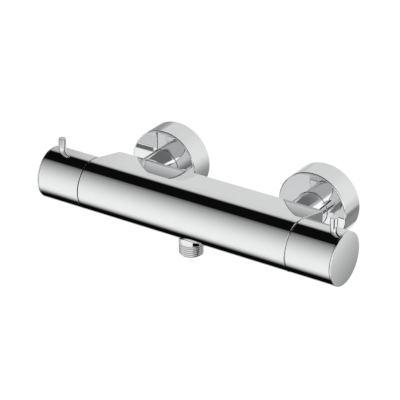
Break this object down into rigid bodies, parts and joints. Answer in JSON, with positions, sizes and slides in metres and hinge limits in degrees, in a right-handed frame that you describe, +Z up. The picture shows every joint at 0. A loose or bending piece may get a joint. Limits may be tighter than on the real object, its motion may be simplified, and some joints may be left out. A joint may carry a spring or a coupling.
{
  "type": "thermostatic shower valve",
  "caption": "Wall-mounted thermostatic shower mixer: a round chromed bar with a flat sloping shelf, pin-grip end handles, deep rosettes and a threaded outlet below.",
  "frame": {"origin": "on the wall's face, midway between the centres of the two supply tails", "axes": "+X to the right as seen by the user, towards the cold supply and the temperature handle; +Y into the wall; +Z up"},
  "size_m": [0.29, 0.129, 0.0703],
  "materials": {
    "polished_chrome": "mirror-polished chrome plate on brass",
    "turned_brass": "plain turned brass",
    "wax_element_copper": "plain drawn copper alloy",
    "spring_steel": "bright stainless steel",
    "seal_rubber": "matt black sealing rubber",
    "cartridge_plastic": "moulded plastic, natural colour",
    "white_plastic": "smooth white plastic",
    "red_plastic": "smooth red plastic",
    "blue_plastic": "smooth blue plastic",
    "ceramic": "lapped white ceramic"
  },
  "bodies": {
    "valve": {"valve_body": "polished_chrome", "outlet_nipple": "polished_chrome", "outlet_seal": "seal_rubber", "temperature_guide_ring": "white_plastic", "temperature_stop_ring": "red_plastic", "flow_guide_ring": "white_plastic", "thermostat_housing": "cartridge_plastic", "thermostat_retaining_nut": "turned_brass", "thermostat_seals": "seal_rubber", "return_spring": "spring_steel", "flow_bush": "turned_brass", "flow_seals": "seal_rubber", "fixed_ceramic_disc": "ceramic", "hot_inlet_tail": "turned_brass", "cold_inlet_tail": "turned_brass", "hot_union_nut": "polished_chrome", "cold_union_nut": "polished_chrome", "hot_filter_washer": "seal_rubber", "cold_filter_washer": "seal_rubber", "hot_check_housing": "white_plastic", "cold_check_housing": "white_plastic", "hot_check_spring": "spring_steel", "cold_check_spring": "spring_steel", "hot_offset_union": "polished_chrome", "cold_offset_union": "polished_chrome", "hot_rosette": "polished_chrome", "cold_rosette": "polished_chrome", "hot_rosette_seal": "seal_rubber", "cold_rosette_seal": "seal_rubber"},
    "temperature_control": {"temperature_handle": "polished_chrome", "temperature_end_cap": "polished_chrome", "temperature_pin": "polished_chrome", "temperature_adapter": "white_plastic", "temperature_screw": "spring_steel", "thermostat_spindle": "turned_brass", "safety_button_spring": "spring_steel"},
    "safety_button": {"safety_button": "polished_chrome"},
    "regulating_slide": {"regulating_carrier": "cartridge_plastic", "carrier_clip": "spring_steel", "overload_plunger": "turned_brass", "overload_spring": "spring_steel", "wax_element": "wax_element_copper", "mixing_shuttle": "cartridge_plastic", "shuttle_seal": "seal_rubber"},
    "flow_control": {"flow_handle": "polished_chrome", "flow_end_cap": "polished_chrome", "flow_pin": "polished_chrome", "flow_adapter": "white_plastic", "flow_screw": "spring_steel", "flow_spindle": "turned_brass", "moving_ceramic_disc": "ceramic"},
    "hot_poppet": {"hot_check_poppet": "blue_plastic"},
    "cold_poppet": {"cold_check_poppet": "blue_plastic"}
  },
  "joints": [
    {"name": "temperature_turn", "type": "hinge", "parent": "valve", "child": "temperature_control", "pos_m": [0.12, -0.09, -0.007], "axis": [1, 0, 0], "range_deg": [-200, 0]},
    {"name": "regulating_travel", "type": "slide", "parent": "valve", "child": "regulating_slide", "axis": [1, 0, 0], "range_m": [-0.00085, 0], "deforming": ["return_spring"]},
    {"name": "safety_button_press", "type": "slide", "parent": "temperature_control", "child": "safety_button", "axis": [0, 0, 1], "range_m": [0, 0.0026], "stiffness_N_per_m": 400, "springref_m": -0.002, "deforming": ["safety_button_spring"]},
    {"name": "flow_turn", "type": "hinge", "parent": "valve", "child": "flow_control", "pos_m": [-0.12, -0.09, -0.007], "axis": [1, 0, 0], "range_deg": [0, 90]},
    {"name": "hot_poppet_lift", "type": "slide", "parent": "valve", "child": "hot_poppet", "axis": [0, -1, 0], "range_m": [0, 0.003], "stiffness_N_per_m": 60, "springref_m": -0.002, "deforming": ["hot_check_spring"]},
    {"name": "cold_poppet_lift", "type": "slide", "parent": "valve", "child": "cold_poppet", "axis": [0, -1, 0], "range_m": [0, 0.003], "stiffness_N_per_m": 60, "springref_m": -0.002, "deforming": ["cold_check_spring"]}
  ],
  "couplings": [
    {"joint": "regulating_travel", "follows": "temperature_turn", "m_per_rad": 0.00023873}
  ]
}
